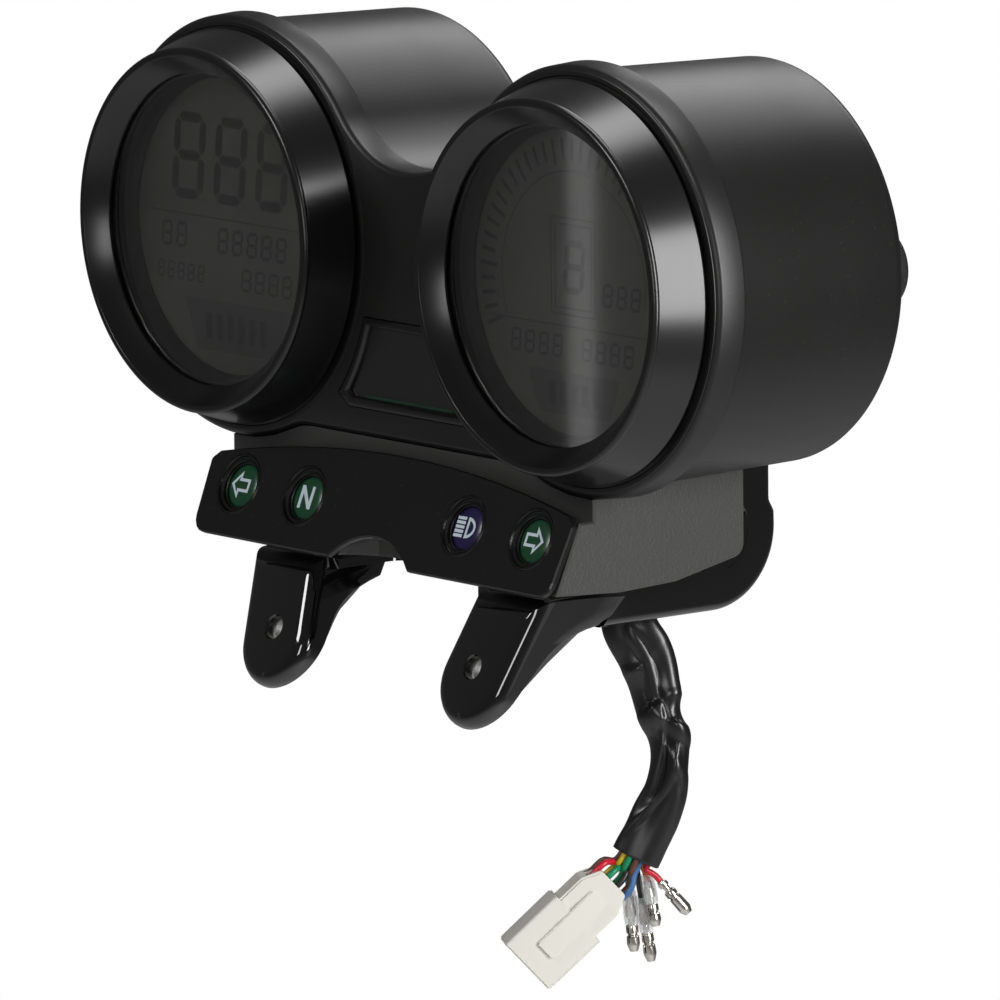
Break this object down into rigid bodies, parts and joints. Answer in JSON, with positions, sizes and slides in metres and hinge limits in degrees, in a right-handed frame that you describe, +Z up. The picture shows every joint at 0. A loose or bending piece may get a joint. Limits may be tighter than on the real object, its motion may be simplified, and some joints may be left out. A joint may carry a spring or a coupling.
{
  "type": "motorcycle instrument cluster",
  "caption": "Twin round digital instrument pods in one moulded housing, with a lamp panel below, on a pressed steel bracket with a loose wiring harness.",
  "frame": {"origin": "midway between the two bracket ear holes, on the ears' front faces, where two M6 bolts hold the cluster", "axes": "+X to the rider's right, +Y away from the rider so the dials face -Y, +Z up"},
  "size_m": [0.2546, 0.0971, 0.2546],
  "materials": {
    "housing_black": "fine-textured matt black moulding",
    "piano_black": "high-gloss black moulding",
    "case_black": "coarser textured matt black moulding",
    "panel_black": "satin black panel",
    "clear_lens": "clear polycarbonate window",
    "dial_glass": "dark reflective display glass, unlit",
    "smoked_pane": "smoked glossy pane",
    "shroud_black": "matt black dial ring",
    "white_diffuser": "white light guide",
    "board_green": "green circuit board",
    "green_lens": "green tinted lamp lens",
    "blue_lens": "blue-violet tinted lamp lens",
    "steel_black": "gloss black painted pressed steel",
    "zinc_steel": "bright zinc-plated steel",
    "rubber_black": "black rubber",
    "vinyl_black": "soft satin vinyl sleeving",
    "natural_nylon": "natural translucent nylon",
    "tinned_brass": "tinned terminal",
    "wire_red": "wire insulation",
    "wire_blue": "wire insulation",
    "wire_orange": "wire insulation",
    "wire_black": "wire insulation"
  },
  "bodies": {
    "root": {"housing": "housing_black", "bezel_left": "piano_black", "bezel_right": "piano_black", "window_frame": "piano_black", "lower_case": "case_black", "lamp_panel": "panel_black", "ring_left_turn": "panel_black", "ring_neutral": "panel_black", "ring_high_beam": "panel_black", "ring_right_turn": "panel_black", "lens_left": "clear_lens", "lens_right": "clear_lens", "lcd_left": "dial_glass", "lcd_right": "dial_glass", "window_pane": "smoked_pane", "shroud_left": "shroud_black", "shroud_right": "shroud_black", "backlight_left": "white_diffuser", "backlight_right": "white_diffuser", "board_left": "board_green", "board_right": "board_green", "lamp_board_left": "board_green", "lamp_board_right": "board_green", "window_backplate": "board_green", "lamp_left_turn": "green_lens", "lamp_neutral": "green_lens", "lamp_right_turn": "green_lens", "lamp_high_beam": "blue_lens", "bracket": "steel_black", "weld_nut_left": "zinc_steel", "weld_nut_right": "zinc_steel", "foot_screw": "zinc_steel", "damper_screw": "zinc_steel", "tray_screw_left": "zinc_steel", "tray_screw_right": "zinc_steel", "case_screw_left_1": "zinc_steel", "case_screw_left_2": "zinc_steel", "case_screw_left_3": "zinc_steel", "case_screw_right_1": "zinc_steel", "case_screw_right_2": "zinc_steel", "case_screw_right_3": "zinc_steel", "rear_damper": "rubber_black", "harness_grommet": "rubber_black", "harness_sleeve": "vinyl_black", "plug": "natural_nylon", "bullet_red": "tinned_brass", "bullet_orange": "tinned_brass", "bullet_blue": "tinned_brass", "bullet_black": "tinned_brass", "wire_red": "wire_red", "wire_blue": "wire_blue", "wire_orange": "wire_orange", "wire_black": "wire_black", "wire_bundle": "wire_black"}
  },
  "joints": []
}
